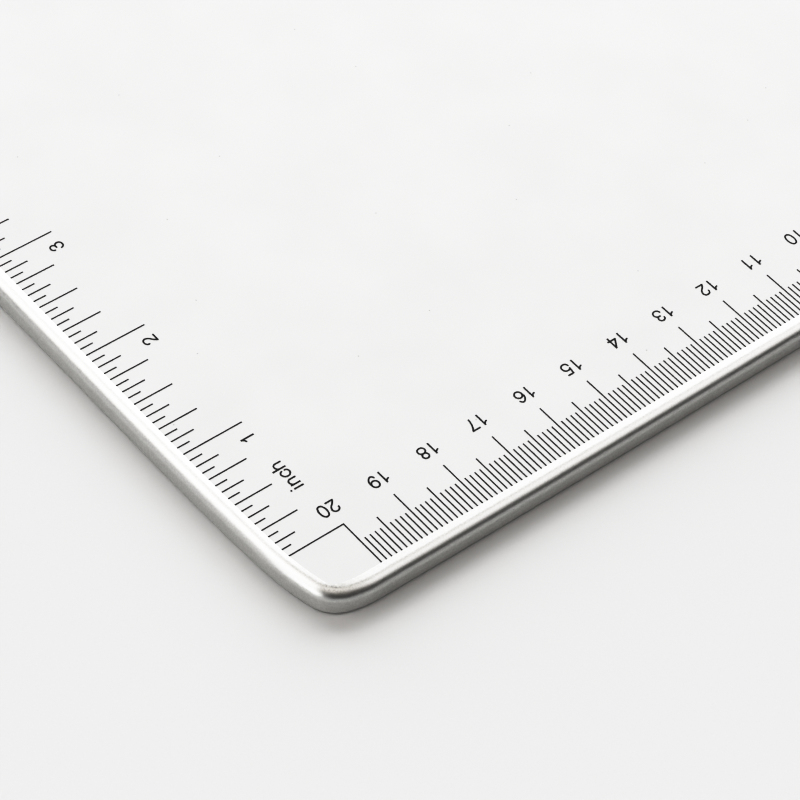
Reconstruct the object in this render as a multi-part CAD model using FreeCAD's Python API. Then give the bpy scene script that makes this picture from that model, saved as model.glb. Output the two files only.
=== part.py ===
import FreeCAD, Part
import math
import os

from FreeCAD import Vector

# Ruled steel layout board: a shallow pressed steel pan over a stiff core, closed underneath by a
# steel base plate and a non-slip sheet, with a centimetre scale printed along one short side and
# an inch scale printed along the long side next to it.
#
# Frame: millimetres, +Z up. The origin is the middle of the underside. X runs along the short
# sides, Y along the long sides. The centimetre scale is on the +Y side and reads from left to
# right; the inch scale is on the +X side and reads from the +Y end towards -Y.

# ---- Scales ----
METRIC_LENGTH = 200.0           # 0 to 20 cm
INCH = 25.4
INCHES = 12
SHORT_SIDE_MARGIN = 12.4        # from the zero of the inch scale to the short side's wall
LONG_SIDE_MARGIN = 13.85        # from the end of the centimetre scale to the long side's wall
SHORT_SIDE_FLAT = 9.6           # from the zero of the inch scale to the end of the flat face
LONG_SIDE_FLAT = 11.4           # from the end of the centimetre scale to the end of the flat face

# ---- Board ----
WIDTH = METRIC_LENGTH + 2 * LONG_SIDE_MARGIN
LENGTH = INCHES * INCH + 2 * SHORT_SIDE_MARGIN
FLAT_WIDTH = METRIC_LENGTH + 2 * LONG_SIDE_FLAT
FLAT_LENGTH = INCHES * INCH + 2 * SHORT_SIDE_FLAT
FACE_HEIGHT = 5.0               # from the table to the printed face
STEEL = 0.8                     # the pan's sheet
EDGE_DROP = 0.35                # the pan's sloping edge, carried on to the wall, falls this far
SHOULDER = 2.1                  # outer radius where the sloping edge turns down into the wall
INNER_BEND = 1.3                # radius inside the same turn
HEEL = 0.7                      # outer radius where the wall turns in at its foot
RIM_LIFT = 0.1                  # the pan's rim stands this far off the table

# Each corner is one run of tangent arcs, as (radius, degrees), from the long side round to the
# short side: both sides lean in gently before the corner proper. The flat face turns through the
# same angles with a tighter corner, so its sloping edge is narrower there.
CORNER_ARCS = [(690.0, 2.35), (50.6, 12.30), (6.2, 57.00), (17.6, 17.53), (4190.0, 0.82)]
FLAT_CORNER_ARCS = [(688.0, 2.35), (48.0, 12.30), (1.4, 57.00), (15.0, 17.53), (4188.0, 0.82)]

# ---- Layers inside the pan, from the face down ----
FILM = 0.1                      # each double-sided adhesive film
CORE = 2.6
BASE_PLATE = 0.5
CORE_CLEARANCE = 0.4            # between the core's edge and the pan's wall
CORE_ROUND = 1.2                # the core's top edge, eased to clear the pan's inner bend
BASE_CLEARANCE = 0.2            # between the base plate's edge and the pan's wall
FILM_INSET = 3.0                # from the board's edge to the films' edges
SHEET_INSET = 2.0               # from the board's edge to the non-slip sheet's edge

# ---- Print ----
INK = 0.03                      # height of the printed marks
LINE = 0.24                     # width of a graduation line
LINE_OVERRUN = 0.06             # a graduation line's inner end passes its nominal length by this
STROKE = 0.30                   # width of a numeral's stroke
DIGIT_HEIGHT = 2.53
SCALE_CORNER_X = METRIC_LENGTH / 2
SCALE_CORNER_Y = LENGTH / 2 - SHORT_SIDE_MARGIN
METRIC_STEPS_SHORTER = {10: 0.0, 5: 2.0, 1: 4.0}            # by millimetres between such lines
INCH_STEPS_SHORTER = {16: 0.0, 4: 4.0, 2: 7.0, 1: 9.0}      # by sixteenths between such lines
METRIC_BASELINE = 4.97          # numerals' baseline, in from the centimetre lines' inner ends
INCH_BASELINE = 0.03            # numerals' baseline, in from the inch lines' inner ends
INCH_NUMERAL_GAP = 2.22         # from an inch line back to the end of its numeral
INCH_LABEL_START = 9.45         # from the zero line to the start of the unit label
METRIC_LABEL_CENTRE = 5.0       # from the zero line to the middle of the unit label


# ---- Outlines ----

def corner_reach(arcs):
    """How far a corner reaches along the long side and along the short side."""
    along_long = 0.0
    along_short = 0.0
    heading = 0.0
    for radius, degrees in arcs:
        turned = heading + math.radians(degrees)
        along_long += radius * (math.sin(turned) - math.sin(heading))
        along_short += radius * (math.cos(heading) - math.cos(turned))
        heading = turned
    return along_long, along_short


class Pen:
    """Draws tangent lines and left-hand arcs from a start point and a heading."""

    def __init__(self, x, y, heading):
        self.x = x
        self.y = y
        self.heading = heading
        self.edges = []

    def line(self, length):
        end_x = self.x + length * math.cos(self.heading)
        end_y = self.y + length * math.sin(self.heading)
        self.edges.append(Part.makeLine(Vector(self.x, self.y, 0), Vector(end_x, end_y, 0)))
        self.x = end_x
        self.y = end_y

    def arc(self, radius, degrees):
        centre_x = self.x - radius * math.sin(self.heading)
        centre_y = self.y + radius * math.cos(self.heading)
        start = math.degrees(self.heading) - 90
        axis = Vector(0, 0, 1)
        centre = Vector(centre_x, centre_y, 0)
        self.edges.append(Part.makeCircle(radius, centre, axis, start, start + degrees))
        self.heading += math.radians(degrees)
        self.x = centre_x + radius * math.sin(self.heading)
        self.y = centre_y - radius * math.cos(self.heading)


def outline(width, length, arcs, height):
    """A closed outline with these corners, at this height."""
    along_long, along_short = corner_reach(arcs)
    short_straight = width - 2 * along_short
    long_straight = length - 2 * along_long
    pen = Pen(-short_straight / 2, -length / 2, 0.0)
    for _ in range(2):
        pen.line(short_straight)
        for radius, degrees in reversed(arcs):
            pen.arc(radius, degrees)
        pen.line(long_straight)
        for radius, degrees in arcs:
            pen.arc(radius, degrees)
    wire = Part.Wire(pen.edges)
    wire.translate(Vector(0, 0, height))
    return wire


def board_outline(inset, height):
    """The board's outline moved inwards by inset."""
    arcs = [(radius - inset, degrees) for radius, degrees in CORNER_ARCS]
    return outline(WIDTH - 2 * inset, LENGTH - 2 * inset, arcs, height)


def flat_outline(height):
    """The outline of the flat, printable part of the face."""
    return outline(FLAT_WIDTH, FLAT_LENGTH, FLAT_CORNER_ARCS, height)


def slab(wire, thickness):
    """A flat layer that stands on an outline."""
    return Part.Face(wire).extrude(Vector(0, 0, thickness))


def layer(inset, bottom, top):
    """A flat layer of the board between two heights."""
    return slab(board_outline(inset, bottom), top - bottom)


def round_rim(solid, height, radius):
    """Rounds the edges that run round a solid at this height."""
    def level(edge):
        box = edge.BoundBox
        return abs(box.ZMin - height) < SAME_HEIGHT and abs(box.ZMax - height) < SAME_HEIGHT

    return solid.makeFillet(radius, [edge for edge in solid.Edges if level(edge)])


# ---- Pan and layers ----

FACE_UNDERSIDE = FACE_HEIGHT - STEEL
CORE_TOP = FACE_UNDERSIDE - FILM
CORE_BOTTOM = CORE_TOP - CORE
BASE_TOP = CORE_BOTTOM - FILM
BASE_BOTTOM = BASE_TOP - BASE_PLATE
SHEET_TOP = BASE_BOTTOM - FILM
SAME_HEIGHT = 1e-6              # heights closer than this are one height


def pan_outside():
    """The pan's outer form: a wall with a rounded foot, a sloping edge and the flat face."""
    edge_height = FACE_HEIGHT - EDGE_DROP
    wall = layer(0.0, RIM_LIFT, edge_height)
    slope = Part.makeLoft([board_outline(0.0, edge_height), flat_outline(FACE_HEIGHT)], True, True)
    shouldered = round_rim(wall.fuse(slope).removeSplitter(), edge_height, SHOULDER)
    return round_rim(shouldered, RIM_LIFT, HEEL)


def top_pan():
    inside = round_rim(layer(STEEL, 0.0, FACE_UNDERSIDE), FACE_UNDERSIDE, INNER_BEND)
    return pan_outside().cut(inside).Solids[0]


def pan_adhesive():
    return layer(FILM_INSET, CORE_TOP, FACE_UNDERSIDE)


def core_board():
    core = layer(STEEL + CORE_CLEARANCE, CORE_BOTTOM, CORE_TOP)
    return round_rim(core, CORE_TOP, CORE_ROUND)


def base_adhesive():
    return layer(FILM_INSET, BASE_TOP, CORE_BOTTOM)


def base_plate():
    return layer(STEEL + BASE_CLEARANCE, BASE_BOTTOM, BASE_TOP)


def sheet_adhesive():
    return layer(FILM_INSET, SHEET_TOP, BASE_BOTTOM)


def non_slip_sheet():
    return layer(SHEET_INSET, 0.0, SHEET_TOP)


# ---- Graduations ----

def ink_box(x_from, x_to, y_from, y_to):
    size_x = abs(x_to - x_from)
    size_y = abs(y_to - y_from)
    corner = Vector(min(x_from, x_to), min(y_from, y_to), FACE_HEIGHT)
    return Part.makeBox(size_x, size_y, INK, corner)


def longest_step(index, steps_shorter):
    """How much shorter than the longest line the line with this index is."""
    return next(shorter for step, shorter in steps_shorter.items() if index % step == 0)


def flat_area():
    """The printable flat of the face, as a body the height of the ink."""
    return slab(flat_outline(FACE_HEIGHT), INK)


def metric_line(millimetre, flat, overrun=LINE_OVERRUN):
    x = SCALE_CORNER_X - METRIC_LENGTH + millimetre
    inner = SCALE_CORNER_Y + longest_step(millimetre, METRIC_STEPS_SHORTER) - overrun
    return ink_box(x - LINE / 2, x + LINE / 2, inner, LENGTH / 2).common(flat)


def inch_line(sixteenth, flat, overrun=LINE_OVERRUN):
    y = SCALE_CORNER_Y - sixteenth * INCH / 16
    inner = SCALE_CORNER_X + longest_step(sixteenth, INCH_STEPS_SHORTER) - overrun
    return ink_box(inner, WIDTH / 2, y - LINE / 2, y + LINE / 2).common(flat)


def metric_graduations():
    flat = flat_area()
    lines = [metric_line(mm, flat) for mm in range(int(METRIC_LENGTH))]
    return Part.makeCompound([solid for line in lines for solid in line.Solids])


def inch_graduations():
    flat = flat_area()
    lines = [inch_line(n, flat) for n in range(1, INCHES * 16 + 1)]
    return Part.makeCompound([solid for line in lines for solid in line.Solids])


def corner_mark():
    """The last centimetre line and the zero inch line, printed as one right angle."""
    flat = flat_area()
    last_metric = metric_line(int(METRIC_LENGTH), flat, LINE / 2)
    return last_metric.fuse(inch_line(0, flat, LINE / 2)).removeSplitter()


# ---- Numerals and unit labels ----
#
# Plain single-stroke characters on a grid where a digit is 100 high. A stroke is a list: a start
# point, then moves, where (x, y) is a line and (through_x, through_y, x, y) is an arc. A tuple
# stands for a closed four-centred oval: (x, y, half_width, half_height, end_radius).

DIGIT_ADVANCE = 77.7
DIGIT_TURN_HEIGHT = 98.7        # a 6 and a 9 turn into each other about the middle of this height
X_HEIGHT = 72.4
CAP = 100.0
STEM = 15.4                     # middle of a letter's first stem
ARCH = 47.0                     # from one stem to the next in n and h
M_ARCH = 42.7                   # from one stem to the next in m
HALF_PEN = 50 * STROKE / DIGIT_HEIGHT


def stem(x, height):
    return [(x, 0.0), (x, height)]


def arch(left, span):
    """The arm of n, h and m: out of one stem, over, and down to the baseline."""
    right = left + span
    top = X_HEIGHT - HALF_PEN
    middle = left + 0.53 * span
    return [
        (left, 42.0),
        (left + 0.17 * span, 59.5, middle, top),
        (right - 0.11 * span, 60.0, right, 43.0),
        (right, HALF_PEN),
    ]


CHARACTERS = {
    "0": [(38.8, 49.3, 26.8, 44.9, 21.0)],
    "1": [stem(45.9, CAP), [(45.9, 92.0), (37.5, 81.0, 22.0, 73.0)]],
    "2": [[
        (13.5, 70.0),
        (21.5, 88.5, 39.5, 94.3),
        (57.5, 88.0, 64.0, 72.0),
        (58.0, 54.5, 42.0, 38.0),
        (26.5, 24.0, 14.0, 6.0),
        (66.0, 6.0),
    ]],
    "3": [
        [(13.8, 74.0), (20.5, 88.5, 36.5, 94.3), (53.0, 88.5, 59.0, 73.5), (51.0, 57.5, 31.0, 53.5)],
        [(40.0, 54.0), (58.0, 46.5, 64.8, 29.5), (57.0, 11.5, 37.5, 4.3), (19.5, 10.0, 12.0, 27.0)],
    ],
    "4": [stem(51.3, CAP), [(49.5, 93.0), (8.0, 29.6), (66.0, 29.6)]],
    "5": [[
        (62.0, 94.0),
        (22.5, 94.0),
        (15.8, 48.0),
        (25.5, 57.0, 39.5, 59.8),
        (58.5, 51.0, 65.0, 32.0),
        (57.5, 11.5, 37.5, 4.3),
        (19.5, 10.0, 12.0, 26.5),
    ]],
    "6": [
        [(62.5, 77.5), (54.0, 90.5, 41.5, 94.0), (18.5, 75.0, 13.2, 36.0)],
        (38.9, 31.4, 25.7, 27.0, 24.0),
    ],
    "7": [[(12.0, 94.0), (66.0, 94.0), (43.5, 55.0, 32.5, HALF_PEN)]],
    "8": [(38.8, 73.0, 22.3, 21.3, 23.5), (38.8, 28.3, 26.4, 24.0, 29.0)],
    "i": [stem(STEM, X_HEIGHT), [(STEM, CAP - 2 * HALF_PEN), (STEM, CAP)]],
    "n": [stem(STEM, X_HEIGHT), arch(STEM, ARCH)],
    "h": [stem(STEM, CAP), arch(STEM, ARCH)],
    "m": [stem(STEM, X_HEIGHT), arch(STEM, M_ARCH), arch(STEM + M_ARCH, M_ARCH)],
    "c": [[(62.0, 49.0), (53.5, 63.0, 38.5, 67.8), (11.8, 35.5, 38.5, 4.3), (54.5, 9.5, 63.0, 25.0)]],
}
ADVANCES = {"i": 31.0, "c": 69.8, "m": 116.4}


def centre_line(stroke):
    """A stroke's edges in millimetres."""
    scale = DIGIT_HEIGHT / CAP
    here = Vector(*stroke[0]) * scale
    edges = []
    for move in stroke[1:]:
        there = Vector(*move[-2:]) * scale
        if len(move) == 2:
            edges.append(Part.makeLine(here, there))
        else:
            through = Vector(*move[:2]) * scale
            edges.append(Part.Arc(here, through, there).toShape())
        here = there
    return edges


def oval(x, y, half_width, half_height, end_radius):
    """A closed oval whose top and bottom have end_radius, as a face in millimetres."""
    rise = half_height - end_radius
    side = (half_width**2 + rise**2 - end_radius**2) / (2 * (half_width - end_radius))
    slope = math.atan2(abs(rise), abs(side - half_width))
    join_x = end_radius * math.cos(slope)
    join_y = rise + end_radius * math.sin(slope)
    loop = [
        (x - join_x, y + join_y),
        (x, y + half_height, x + join_x, y + join_y),
        (x + half_width, y, x + join_x, y - join_y),
        (x, y - half_height, x - join_x, y - join_y),
        (x - half_width, y, x - join_x, y + join_y),
    ]
    return Part.Face(Part.Wire(centre_line(loop)))


def ring(x, y, half_width, half_height, end_radius):
    """The flat area that the pen covers on its way round an oval."""
    outer = oval(x, y, half_width + HALF_PEN, half_height + HALF_PEN, end_radius + HALF_PEN)
    inner = oval(x, y, half_width - HALF_PEN, half_height - HALF_PEN, end_radius - HALF_PEN)
    return outer.cut(inner)


def bar(low, length):
    """The flat area of one upright stroke."""
    return Part.makePlane(STROKE, length, low - Vector(STROKE / 2, 0, 0))


def ribbon(stroke):
    """The flat area that the pen covers along a stroke."""
    if isinstance(stroke, tuple):
        return ring(*stroke)
    edges = centre_line(stroke)
    if len(edges) == 1 and len(stroke[1]) == 2:
        return bar(edges[0].Vertexes[0].Point, edges[0].Length)
    return Part.Face(Part.Wire(edges).makeOffset2D(STROKE / 2))


def character(letter):
    """One character as ink, with the start of its baseline at the origin."""
    if letter == "9":
        nine = character("6")
        middle = Vector(DIGIT_ADVANCE, DIGIT_TURN_HEIGHT, 0) * (DIGIT_HEIGHT / CAP / 2)
        nine.rotate(middle, Vector(0, 0, 1), 180)
        return nine
    bodies = [ribbon(stroke).extrude(Vector(0, 0, INK)) for stroke in CHARACTERS[letter]]
    return bodies[0].fuse(bodies[1:]).removeSplitter() if len(bodies) > 1 else bodies[0]


def advance(letter):
    return ADVANCES.get(letter, DIGIT_ADVANCE) * DIGIT_HEIGHT / CAP


def text(letters, x, y, degrees):
    """A line of characters whose baseline starts at x, y and runs at this angle."""
    solids = []
    along = 0.0
    for letter in letters:
        body = character(letter)
        body.translate(Vector(along, 0, 0))
        body.rotate(Vector(0, 0, 0), Vector(0, 0, 1), degrees)
        body.translate(Vector(x, y, FACE_HEIGHT))
        solids.extend(body.Solids)
        along += advance(letter)
    return solids


def text_width(letters):
    return sum(advance(letter) for letter in letters)


def metric_text(letters, centre):
    """Characters along the centimetre scale, centred this far from its zero."""
    x = SCALE_CORNER_X - METRIC_LENGTH + centre - text_width(letters) / 2
    return text(letters, x, SCALE_CORNER_Y - METRIC_BASELINE, 0)


def inch_text(letters, start):
    """Characters along the inch scale, starting this far from its zero."""
    return text(letters, SCALE_CORNER_X - INCH_BASELINE, SCALE_CORNER_Y - start, -90)


def metric_numerals():
    solids = []
    for centimetre in range(int(METRIC_LENGTH / 10) + 1):
        solids.extend(metric_text(str(centimetre), 10.0 * centimetre))
    return Part.makeCompound(solids)


def inch_numerals():
    solids = []
    for inch in range(1, INCHES + 1):
        end = inch * INCH - INCH_NUMERAL_GAP
        solids.extend(inch_text(str(inch), end - text_width(str(inch))))
    return Part.makeCompound(solids)


def metric_unit_label():
    return Part.makeCompound(metric_text("cm", METRIC_LABEL_CENTRE))


def inch_unit_label():
    return Part.makeCompound(inch_text("inch", INCH_LABEL_START))


# ---- Nodes ----

NODES = [
    top_pan,
    pan_adhesive,
    core_board,
    base_adhesive,
    base_plate,
    sheet_adhesive,
    non_slip_sheet,
    metric_graduations,
    inch_graduations,
    corner_mark,
    metric_numerals,
    inch_numerals,
    metric_unit_label,
    inch_unit_label,
]

os.makedirs("parts", exist_ok=True)
for node in NODES:
    node().exportStep(f"parts/{node.__name__}.step")
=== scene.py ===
"""Looks for the ruled steel layout board: a finely shaped pressed pan, the finish of every piece,
a pale table, soft daylight and the camera. Metres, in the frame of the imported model."""

import bpy
import math

from mathutils import Matrix, Vector


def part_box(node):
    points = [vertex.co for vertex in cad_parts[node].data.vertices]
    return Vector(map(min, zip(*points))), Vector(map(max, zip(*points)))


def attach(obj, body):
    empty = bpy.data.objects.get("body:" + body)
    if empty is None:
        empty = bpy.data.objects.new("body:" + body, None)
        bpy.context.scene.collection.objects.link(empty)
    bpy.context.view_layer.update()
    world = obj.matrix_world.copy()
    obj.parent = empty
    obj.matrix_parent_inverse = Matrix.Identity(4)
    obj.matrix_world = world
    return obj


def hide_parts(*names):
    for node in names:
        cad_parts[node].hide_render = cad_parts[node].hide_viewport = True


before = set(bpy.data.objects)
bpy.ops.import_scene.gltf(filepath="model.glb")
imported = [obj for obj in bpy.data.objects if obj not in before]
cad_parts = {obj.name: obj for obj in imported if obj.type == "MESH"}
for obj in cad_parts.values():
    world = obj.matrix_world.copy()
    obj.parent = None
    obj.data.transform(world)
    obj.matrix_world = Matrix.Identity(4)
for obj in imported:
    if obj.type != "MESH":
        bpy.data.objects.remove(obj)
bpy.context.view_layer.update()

MM = 0.001

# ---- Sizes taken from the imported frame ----

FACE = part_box("top_pan")[1].z               # height of the printed face
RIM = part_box("top_pan")[0].z                # height of the pan's rim
HALF_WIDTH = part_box("top_pan")[1].x
HALF_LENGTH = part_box("top_pan")[1].y
HALF_FLAT_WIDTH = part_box("inch_graduations")[1].x       # printed lines run to the end of the flat
HALF_FLAT_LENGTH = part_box("metric_graduations")[1].y
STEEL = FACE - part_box("pan_adhesive")[1].z  # thickness of the pan's sheet
HALF_LINE = 0.12 * MM                       # half the width of a printed line, as the CAD draws it
CORNER_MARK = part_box("corner_mark")[0]
SCALE_CORNER = Vector((CORNER_MARK.x + HALF_LINE, CORNER_MARK.y + HALF_LINE, FACE))

# ---- The pan's own shape ----

EDGE_DROP = 0.35 * MM                       # the sloping edge, carried on to the wall, falls this far
SHOULDER = 2.1 * MM                         # outer radius between the sloping edge and the wall
INNER_BEND = 1.3 * MM                       # radius inside the same turn
HEEL = 0.7 * MM                             # outer radius where the wall turns in at its foot
CREASE_ROUND = 0.12 * MM                    # half width of the soft crease round the flat
RIM_ROUND = 0.06 * MM                       # softness of the sharp inner edge of the rim
CHORD_ERROR = 0.002 * MM                    # how far the mesh may cut inside a true arc
SHOULDER_STEPS = 30                         # the same all round, so that every section matches the next

# Each corner is one run of tangent arcs, as (radius, degrees), from the long side to the short side.
# The flat face turns through the same angles with a tighter corner.
CORNER_ARCS = [
    (690.0 * MM, 2.35),
    (50.6 * MM, 12.30),
    (6.2 * MM, 57.00),
    (17.6 * MM, 17.53),
    (4190.0 * MM, 0.82),
]
FLAT_CORNER_ARCS = [
    (688.0 * MM, 2.35),
    (48.0 * MM, 12.30),
    (1.4 * MM, 57.00),
    (15.0 * MM, 17.53),
    (4188.0 * MM, 0.82),
]


# ---- Pressed pan ----

def arc_steps(radius, angle):
    """How many chords an arc needs to stay within the chord error."""
    return max(1, math.ceil(angle / (2 * math.acos(1 - CHORD_ERROR / radius))))


def corner_reach(arcs):
    """How far a corner reaches along the long side and along the short side."""
    along_long = 0.0
    along_short = 0.0
    heading = 0.0
    for radius, degrees in arcs:
        turned = heading + math.radians(degrees)
        along_long += radius * (math.sin(turned) - math.sin(heading))
        along_short += radius * (math.cos(heading) - math.cos(turned))
        heading = turned
    return along_long, along_short


def outline(half_width, half_length, arcs):
    """A rounded outline as (point, outward direction) pairs, anticlockwise from the front left.
    The steps depend on the board's own corners, so that two outlines match point for point."""
    along_long, along_short = corner_reach(arcs)
    place = Vector((-half_width + along_short, -half_length, 0.0))
    heading = 0.0
    points = [(place.copy(), Vector((0.0, -1.0, 0.0)))]
    matched = list(zip(arcs, CORNER_ARCS))
    sides = [
        (2 * (half_width - along_short), matched[::-1]),
        (2 * (half_length - along_long), matched),
    ]
    for straight, corner in sides * 2:
        place = place + straight * Vector((math.cos(heading), math.sin(heading), 0.0))
        out = Vector((math.sin(heading), -math.cos(heading), 0.0))
        points.append((place, out))
        for (radius, degrees), (step_radius, _) in corner:
            centre = place - radius * out
            angle = math.radians(degrees)
            steps = arc_steps(step_radius, angle)
            for step in range(1, steps + 1):
                turned = heading + angle * step / steps
                out = Vector((math.sin(turned), -math.cos(turned), 0.0))
                points.append((centre + radius * out, out))
            heading += angle
            place = centre + radius * out
    return points[:-1]


def round_section(inset, height, radius, start, turn):
    """Points of a round in the pan's section, as (inset, height, tilt), tilt being the outward
    surface direction measured down from straight up. A negative turn is a hollow round."""
    steps = arc_steps(radius, abs(turn))
    away = radius if turn > 0 else -radius
    section = []
    for step in range(steps + 1):
        tilt = start + turn * step / steps
        section.append((inset - away * math.sin(tilt), height + away * math.cos(tilt), tilt))
    return section


QUARTER = math.pi / 2


def edge_section(slope_width):
    """The section from the slope's foot, round the shoulder, down to the rim and back up inside."""
    slope = math.atan(EDGE_DROP / slope_width)
    shoulder = FACE - EDGE_DROP + SHOULDER * (math.tan(slope) - 1 / math.cos(slope))
    section = []
    for step in range(SHOULDER_STEPS + 1):
        tilt = slope + (QUARTER - slope) * step / SHOULDER_STEPS
        inset = SHOULDER * (1 - math.sin(tilt))
        section.append((inset, shoulder + SHOULDER * math.cos(tilt), tilt))
    section += round_section(HEEL, RIM + HEEL, HEEL, QUARTER, QUARTER)
    section += round_section(STEEL - RIM_ROUND, RIM + RIM_ROUND, RIM_ROUND, 2 * QUARTER, QUARTER)
    inner = FACE - STEEL - INNER_BEND
    section += round_section(STEEL + INNER_BEND, inner, INNER_BEND, 3 * QUARTER, -QUARTER)
    return section


def pan_rows():
    """For each place round the board, the (point, surface direction) pairs of the pan's section."""
    up = Vector((0.0, 0.0, 1.0))
    board = outline(HALF_WIDTH, HALF_LENGTH, CORNER_ARCS)
    flat = outline(HALF_FLAT_WIDTH, HALF_FLAT_LENGTH, FLAT_CORNER_ARCS)
    for (edge, out), (crease, _) in zip(board, flat):
        slope_width = (edge - crease).dot(out)
        section = edge_section(slope_width)
        slope_out = math.sin(section[0][2]) * out + math.cos(section[0][2]) * up
        foot = edge - section[0][0] * out + section[0][1] * up
        start = crease + FACE * up
        before = start - CREASE_ROUND * out
        after = start + CREASE_ROUND * (foot - start).normalized()
        middle = (before + 2 * start + after) / 4
        row = [(before, up), (middle, (up + slope_out).normalized()), (after, slope_out)]
        for inset, height, tilt in section:
            point = edge - inset * out + height * up
            row.append((point, math.sin(tilt) * out + math.cos(tilt) * up))
        yield row


def pressed_pan():
    """The pan as one closed mesh: its section swept round the outline, and two flat faces."""
    rows = list(pan_rows())
    count = len(rows[0])
    vertices = [point for row in rows for point, _ in row]
    normals = [direction for row in rows for _, direction in row]
    faces = []
    for here in range(len(rows)):
        after = (here + 1) % len(rows)
        for step in range(count - 1):
            low = here * count + step
            high = after * count + step
            faces.append((low, low + 1, high + 1, high))
    faces.append([here * count for here in range(len(rows))])
    faces.append([here * count + count - 1 for here in reversed(range(len(rows)))])
    mesh = bpy.data.meshes.new("pressed_pan")
    mesh.from_pydata(vertices, [], faces)
    mesh.shade_smooth()
    mesh.normals_split_custom_set_from_vertices(normals)
    pan = bpy.data.objects.new("pressed_pan", mesh)
    bpy.context.scene.collection.objects.link(pan)
    return pan


# ---- Finishes ----

# The Mix node names its colour, number and vector sockets alike, so its colours go by position.
MIX_COLOUR_A = 6
MIX_COLOUR_B = 7
MIX_COLOUR_RESULT = 2


class Tree:
    """Shader nodes added one line at a time; place is where the shader looks itself up."""

    def __init__(self, tree, lookup):
        self.nodes = tree.nodes
        self.links = tree.links
        self.place = self.add("ShaderNodeTexCoord").outputs[lookup]

    def add(self, kind, **settings):
        node = self.nodes.new(kind)
        for name, value in settings.items():
            setattr(node, name, value)
        return node

    def put(self, socket, value):
        """Sets an input to a value, or links it to another node's output."""
        if isinstance(value, bpy.types.NodeSocket):
            self.links.new(value, socket)
        else:
            socket.default_value = value

    def noise(self, size, detail=2.0, rough=0.5, stretch=(1, 1, 1)):
        """Noise from 0 to 1 whose lumps are about this size, in metres."""
        mapping = self.add("ShaderNodeMapping")
        self.put(mapping.inputs["Vector"], self.place)
        mapping.inputs["Scale"].default_value = [1 / (size * s) for s in stretch]
        texture = self.add("ShaderNodeTexNoise")
        self.put(texture.inputs["Vector"], mapping.outputs[0])
        self.put(texture.inputs["Scale"], 1.0)
        self.put(texture.inputs["Detail"], detail)
        self.put(texture.inputs["Roughness"], rough)
        return texture.outputs["Fac"]

    def span(self, value, low, high, to_low, to_high, smooth=False):
        """Maps low..high to to_low..to_high, held at the ends."""
        node = self.add("ShaderNodeMapRange")
        if smooth:
            node.interpolation_type = "SMOOTHSTEP"
        self.put(node.inputs["Value"], value)
        self.put(node.inputs["From Min"], low)
        self.put(node.inputs["From Max"], high)
        self.put(node.inputs["To Min"], to_low)
        self.put(node.inputs["To Max"], to_high)
        return node.outputs["Result"]

    def vary(self, noise, low, high):
        """Maps the range that a noise mostly keeps to, 0.3 to 0.7, to low..high."""
        return self.span(noise, 0.3, 0.7, low, high)

    def combine(self, operation, a, b):
        """The result of one arithmetic operation on two numbers."""
        node = self.add("ShaderNodeMath", operation=operation)
        self.put(node.inputs[0], a)
        self.put(node.inputs[1], b)
        return node.outputs[0]

    def specks(self, spacing, radius):
        """1 inside small round specks scattered about this far apart, 0 elsewhere."""
        mapping = self.add("ShaderNodeMapping")
        self.put(mapping.inputs["Vector"], self.place)
        mapping.inputs["Scale"].default_value = [1 / spacing] * 3
        texture = self.add("ShaderNodeTexVoronoi", voronoi_dimensions="2D")
        self.put(texture.inputs["Vector"], mapping.outputs[0])
        self.put(texture.inputs["Scale"], 1.0)
        edge = radius / spacing
        return self.span(texture.outputs["Distance"], 0.5 * edge, edge, 1.0, 0.0)

    def distance(self, point):
        """How far the shaded place is from a point."""
        node = self.add("ShaderNodeVectorMath", operation="DISTANCE")
        self.put(node.inputs[0], self.place)
        node.inputs[1].default_value = point
        return node.outputs["Value"]

    def mix(self, share, a, b, blend="MIX"):
        """Colour a at share 0, and at share 1 colour b or what the blend makes of both."""
        node = self.add("ShaderNodeMix", data_type="RGBA", blend_type=blend)
        self.put(node.inputs["Factor"], share)
        self.put(node.inputs[MIX_COLOUR_A], a)
        self.put(node.inputs[MIX_COLOUR_B], b)
        return node.outputs[MIX_COLOUR_RESULT]

    def tinted(self, colour, tint):
        """A colour multiplied by a tint."""
        return self.mix(1.0, colour, tint, "MULTIPLY")

    def grey_of(self, level):
        """A neutral colour from a number that varies over the surface."""
        node = self.add("ShaderNodeCombineColor")
        for channel in ("Red", "Green", "Blue"):
            self.put(node.inputs[channel], level)
        return node.outputs[0]


class Finish(Tree):
    """A material looked up in the object's own coordinates."""

    def __init__(self, name):
        self.material = bpy.data.materials.new(name)
        self.material.use_nodes = True
        super().__init__(self.material.node_tree, "Object")
        self.shader = self.nodes["Principled BSDF"]

    def bump(self, height, distance):
        """Raises the surface by up to this distance where height is 1."""
        node = self.add("ShaderNodeBump")
        self.put(node.inputs["Height"], height)
        self.put(node.inputs["Distance"], distance)
        self.put(self.shader.inputs["Normal"], node.outputs[0])

    def surface(self, **inputs):
        """Sets the shader's inputs, with _ for each space in their names."""
        for name, value in inputs.items():
            self.put(self.shader.inputs[name.replace("_", " ")], value)


def grey(level, warm=0.0):
    """A grey, warm being how far it leans from blue to red."""
    return (level * (1 + warm), level, level * (1 - warm), 1.0)


def tilted(degrees):
    """The upward part of the direction of a surface that is tilted this far from level."""
    return math.cos(math.radians(degrees))


# The share of the light that each part of the pan's steel throws back, and its roughness. Round the
# shoulder the share is lowered as painted shade that follows the tilt, and it rises a little again on
# the wall.
SLOPE_LEVEL = 0.89
SHOULDER_PAINTED_SHADE_LEVEL = 0.55
WALL_LIFT = 0.12                            # the wall is brighter than the shoulder by this much
FACE_DARK = 0.562
FACE_LIGHT = 0.582
SPECK_SHARE = 0.6                           # a speck's level as a share of the face's
EDGE_ROUGHNESS = 0.4
FACE_ROUGHNESS = 0.7
EDGE_TINT = (1.0, 1.0, 0.985, 1.0)
FACE_TINT = grey(1.0, 0.008)

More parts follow.
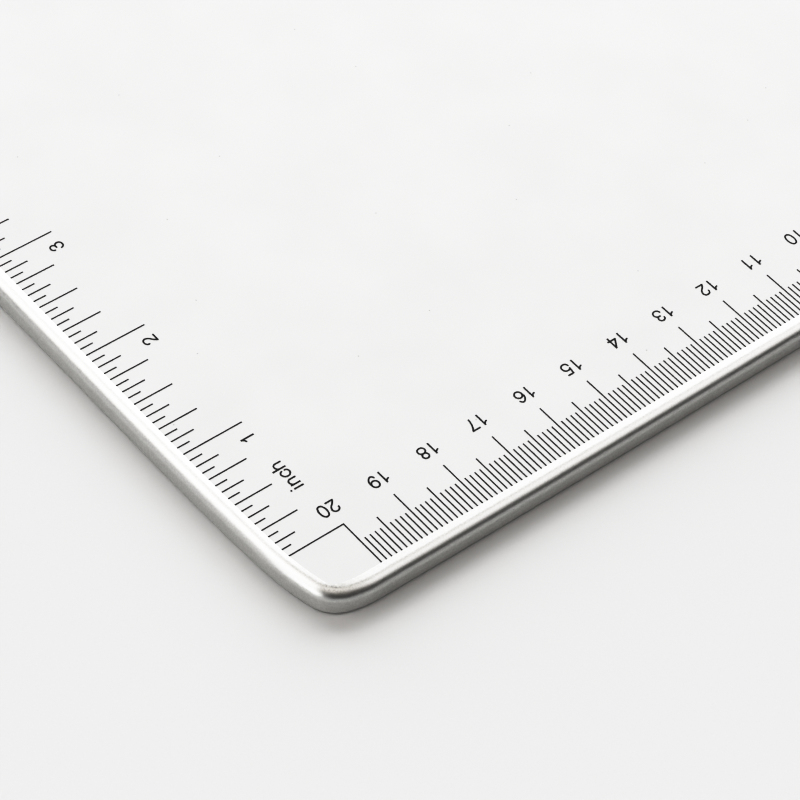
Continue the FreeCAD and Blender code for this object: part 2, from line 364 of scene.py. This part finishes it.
# Scuffs where the board gets knocked.
SCUFFED_CORNER = SCALE_CORNER + Vector((8.6, 8.0, -0.2)) * MM
SCUFF_STRENGTH = 0.35
SCUFF_COLOUR = grey(0.2)


def edge_colour_with_painted_shade(finish, up, grain):
    """Bright on the slope, darkened by painted shade round the shoulder as the surface turns from
    level, the painted shade a little weaker on the wall, with scuffs.
    """
    # painted shade: the colour darkens as the surface tilts from level round the shoulder, and lightens
    # a little again on the wall
    shoulder = finish.span(up, tilted(57.3), tilted(8.1), SHOULDER_PAINTED_SHADE_LEVEL, SLOPE_LEVEL)
    wall = finish.span(up, tilted(84.3), tilted(63.3), WALL_LIFT, 0.0)
    pits = finish.vary(grain, 0.91, 1.09)
    level = finish.combine("MULTIPLY", pits, finish.combine("ADD", shoulder, wall))
    clean = finish.tinted(finish.grey_of(level), EDGE_TINT)
    scratches = finish.span(finish.noise(0.4 * MM, detail=3.0), 0.53, 0.62, 0.0, 1.0)
    away = finish.distance(SCUFFED_CORNER)
    worn = finish.span(away, 0.8 * MM, 2.2 * MM, SCUFF_STRENGTH, 0.0)
    return finish.mix(finish.combine("MULTIPLY", worn, scratches), clean, SCUFF_COLOUR)


def face_colour(finish):
    """Even, with faint clouds and a few dark specks."""
    clouds = finish.vary(finish.noise(14 * MM), FACE_DARK, FACE_LIGHT)
    specks = finish.span(finish.specks(24 * MM, 0.16 * MM), 0.0, 1.0, 1.0, SPECK_SHARE)
    level = finish.combine("MULTIPLY", clouds, specks)
    return finish.tinted(finish.grey_of(level), FACE_TINT)


def satin_steel():
    """The pan's steel: a smooth sloping edge and wall with painted shade round the shoulder, and a flat
    face with a finely matt finish.
    """
    finish = Finish("satin_steel")
    grain = finish.noise(0.25 * MM, detail=3.0)
    facing = finish.add("ShaderNodeSeparateXYZ")
    finish.put(facing.inputs[0], finish.add("ShaderNodeNewGeometry").outputs["Normal"])
    up = facing.outputs["Z"]
    flat = finish.span(up, tilted(7.0), tilted(1.8), 0.0, 1.0)
    colour = finish.mix(flat, edge_colour_with_painted_shade(finish, up, grain), face_colour(finish))
    matt = finish.span(flat, 0.0, 1.0, EDGE_ROUGHNESS, FACE_ROUGHNESS)
    roughness = finish.combine("ADD", matt, finish.vary(grain, -0.02, 0.02))
    finish.surface(Base_Color=colour, Metallic=1.0, Roughness=roughness)
    finish.bump(grain, 0.0015 * MM)
    return finish.material


def black_ink():
    finish = Finish("black_ink")
    coverage = finish.noise(0.12 * MM, detail=3.0)
    colour = finish.mix(coverage, grey(0.002), grey(0.008))
    roughness = finish.vary(coverage, 0.5, 0.65)
    finish.surface(Base_Color=colour, Roughness=roughness, Specular_IOR_Level=0.15)
    finish.bump(coverage, 0.004 * MM)
    return finish.material


def rubber_sheet():
    finish = Finish("rubber_sheet")
    grain = finish.noise(0.6 * MM, detail=4.0)
    colour = finish.mix(grain, grey(0.018), grey(0.032))
    finish.surface(Base_Color=colour, Roughness=0.75)
    finish.bump(grain, 0.06 * MM)
    return finish.material


def rolled_steel():
    finish = Finish("rolled_steel")
    streak = finish.noise(0.3 * MM, detail=3.0, stretch=(1, 60, 1))
    colour = finish.mix(streak, grey(0.42), grey(0.5))
    finish.surface(Base_Color=colour, Metallic=1.0, Roughness=finish.vary(streak, 0.3, 0.45))
    finish.bump(streak, 0.003 * MM)
    return finish.material


DARK_FIBRE = (0.07, 0.035, 0.016, 1.0)
LIGHT_FIBRE = (0.16, 0.09, 0.045, 1.0)


def hardboard():
    finish = Finish("hardboard")
    fibre = finish.noise(0.5 * MM, detail=5.0, rough=0.65, stretch=(1, 2, 1))
    colour = finish.mix(fibre, DARK_FIBRE, LIGHT_FIBRE)
    finish.surface(Base_Color=colour, Roughness=0.8)
    finish.bump(fibre, 0.05 * MM)
    return finish.material


def adhesive_film():
    finish = Finish("adhesive_film")
    bubble = finish.noise(1.5 * MM, detail=2.0)
    colour = finish.mix(bubble, grey(0.6, 0.04), grey(0.7, 0.04))
    finish.surface(Base_Color=colour, Roughness=finish.vary(bubble, 0.3, 0.5))
    finish.bump(bubble, 0.01 * MM)
    return finish.material


def dress(piece, material):
    """Gives a piece this one material."""
    piece.data.materials.clear()
    piece.data.materials.append(material)


def dress_nodes():
    """Gives every CAD node its finish. Those that the list leaves out are the printed marks, and
    the top pan, which the pressed pan replaces."""
    ink = black_ink()
    adhesive = adhesive_film()
    finishes = {
        "core_board": hardboard(),
        "base_plate": rolled_steel(),
        "non_slip_sheet": rubber_sheet(),
        "pan_adhesive": adhesive,
        "base_adhesive": adhesive,
        "sheet_adhesive": adhesive,
    }
    for name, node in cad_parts.items():
        dress(node, finishes.get(name, ink))


# ---- Stage ----

def table_finish():
    finish = Finish("table_paper")
    tooth = finish.noise(0.5 * MM, detail=4.0)
    colour = finish.mix(tooth, grey(0.655, -0.004), grey(0.675, -0.004))
    finish.surface(Base_Color=colour, Roughness=0.9)
    return finish.material


TABLE_HALF = 3.0                            # half its side, in metres


def table():
    corners = [
        (-TABLE_HALF, -TABLE_HALF, 0),
        (TABLE_HALF, -TABLE_HALF, 0),
        (TABLE_HALF, TABLE_HALF, 0),
        (-TABLE_HALF, TABLE_HALF, 0),
    ]
    mesh = bpy.data.meshes.new("table")
    mesh.from_pydata(corners, [], [(0, 1, 2, 3)])
    top = bpy.data.objects.new("table", mesh)
    bpy.context.scene.collection.objects.link(top)
    dress(top, table_finish())


def towards(azimuth, elevation):
    """Unit direction from the board to a viewpoint at this azimuth and elevation, in degrees."""
    a = math.radians(azimuth)
    e = math.radians(elevation)
    return Vector((math.sin(a) * math.cos(e), -math.cos(a) * math.cos(e), math.sin(e)))


class Daylight(Tree):
    """A room seen from the board: light added direction by direction."""

    def __init__(self):
        world = bpy.data.worlds.new("daylight")
        bpy.context.scene.world = world
        world.use_nodes = True
        super().__init__(world.node_tree, "Generated")
        self.background = self.nodes["Background"]
        self.total = (0.0, 0.0, 0.0)

    def shine(self, brightness, warm):
        """Adds a light to the room, warm as in grey()."""
        light = self.add("ShaderNodeVectorMath", operation="SCALE")
        light.inputs[0].default_value = grey(1.0, warm)[:3]
        self.put(light.inputs["Scale"], brightness)
        total = self.add("ShaderNodeVectorMath", operation="ADD")
        self.put(total.inputs[0], self.total)
        self.put(total.inputs[1], light.outputs[0])
        self.total = total.outputs[0]
        self.put(self.background.inputs["Color"], self.total)

    def ceiling(self, low, high, bright, warm):
        """A ceiling in a dark room, fading in between two elevations in degrees."""
        split = self.add("ShaderNodeSeparateXYZ")
        self.put(split.inputs[0], self.place)
        bottom = math.sin(math.radians(low))
        top = math.sin(math.radians(high))
        self.shine(self.span(split.outputs["Z"], bottom, top, 0.0, bright, smooth=True), warm)

    def lamp(self, azimuth, elevation, inner, outer, bright, warm):
        """A round soft light: full within inner degrees of its middle and gone at outer degrees."""
        node = self.add("ShaderNodeVectorMath", operation="DOT_PRODUCT")
        self.put(node.inputs[0], self.place)
        node.inputs[1].default_value = towards(azimuth, elevation)
        near = math.cos(math.radians(inner))
        far = math.cos(math.radians(outer))
        self.shine(self.span(node.outputs["Value"], far, near, 0.0, bright, smooth=True), warm)


def daylight():
    """A dim room with soft lamps; most of the light comes from low behind the board.
    Left, right and behind are as the camera sees them."""
    room = Daylight()
    room.ceiling(22, 37, 0.28, 0.08)
    # azimuth, elevation, full within, gone at, brightness, warmth; the angles in degrees
    room.lamp(334, 16, 31, 47, 4.3, -0.02)      # the main light: a wide low screen
    room.lamp(290, 27, 5, 24, 4.2, -0.02)       # a smaller screen on its right
    room.lamp(58, 36, 8, 33, 2.62, 0.01)        # shows in the inch side's round
    room.lamp(231, 45, 9, 28, 1.55, 0.0)        # shows in the centimetre side's round
    room.lamp(140, 70, 8, 25, 1.0, 0.02)        # shows in the corner's round
    room.lamp(90, 4, 6, 22, 6.4, 0.0)           # a window low on the inch side


CAMERA_AZIMUTH = 135.63
CAMERA_ELEVATION = 48.33
CAMERA_ROLL = 6.44
CAMERA_DISTANCE = 528.3 * MM
CAMERA_LENS = 150.7                         # on a sensor 36 wide
AIM_IN_FROM_CORNER = Vector((23.1, 14.4, 0.0)) * MM


def camera():
    data = bpy.data.cameras.new("camera")
    data.sensor_width = 36.0
    data.lens = CAMERA_LENS
    data.clip_start = 0.01
    data.clip_end = 20.0
    holder = bpy.data.objects.new("camera", data)
    back = towards(CAMERA_AZIMUTH, CAMERA_ELEVATION)
    right = Vector((0.0, 0.0, 1.0)).cross(back).normalized()
    right.rotate(Matrix.Rotation(math.radians(CAMERA_ROLL), 3, back))
    up = back.cross(right)
    turn = Matrix((right, up, back)).transposed()
    place = SCALE_CORNER - AIM_IN_FROM_CORNER + CAMERA_DISTANCE * back
    holder.matrix_world = Matrix.Translation(place) @ turn.to_4x4()
    bpy.context.scene.collection.objects.link(holder)
    bpy.context.scene.camera = holder


# How the light in the scene shows in the picture: a contrasty film, with a soft shoulder that
# keeps detail in the bright end.
FILM_WHITE = 2.0                            # the brightest light that the film tells apart
FILM_CONTRAST = 1.75
FILM_PIVOT = 0.87                           # the contrast doesn't change a light of this brightness
FILM_SHOULDER = 0.55                        # levels above this ease off towards white
FILM_LIGHTS = (0.2, 0.4, 0.6, 0.8, 1.0, 1.2, 1.6)


def shown(light):
    """The level at which the film shows a light, 1 being white."""
    level = FILM_PIVOT * (light / FILM_PIVOT) ** FILM_CONTRAST
    if level <= FILM_SHOULDER:
        return level
    headroom = 1 - FILM_SHOULDER
    return 1 - headroom * math.exp((FILM_SHOULDER - level) / headroom)


def film():
    view = bpy.context.scene.view_settings
    view.view_transform = "Standard"
    view.use_curve_mapping = True
    mapping = view.curve_mapping
    mapping.white_level = (FILM_WHITE, FILM_WHITE, FILM_WHITE)
    combined = mapping.curves[3]
    for light in FILM_LIGHTS:
        combined.points.new(light / FILM_WHITE, shown(light))
    mapping.update()


dress_nodes()
pan = pressed_pan()
dress(pan, satin_steel())
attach(pan, "root")
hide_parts("top_pan")

table()
daylight()
camera()
film()
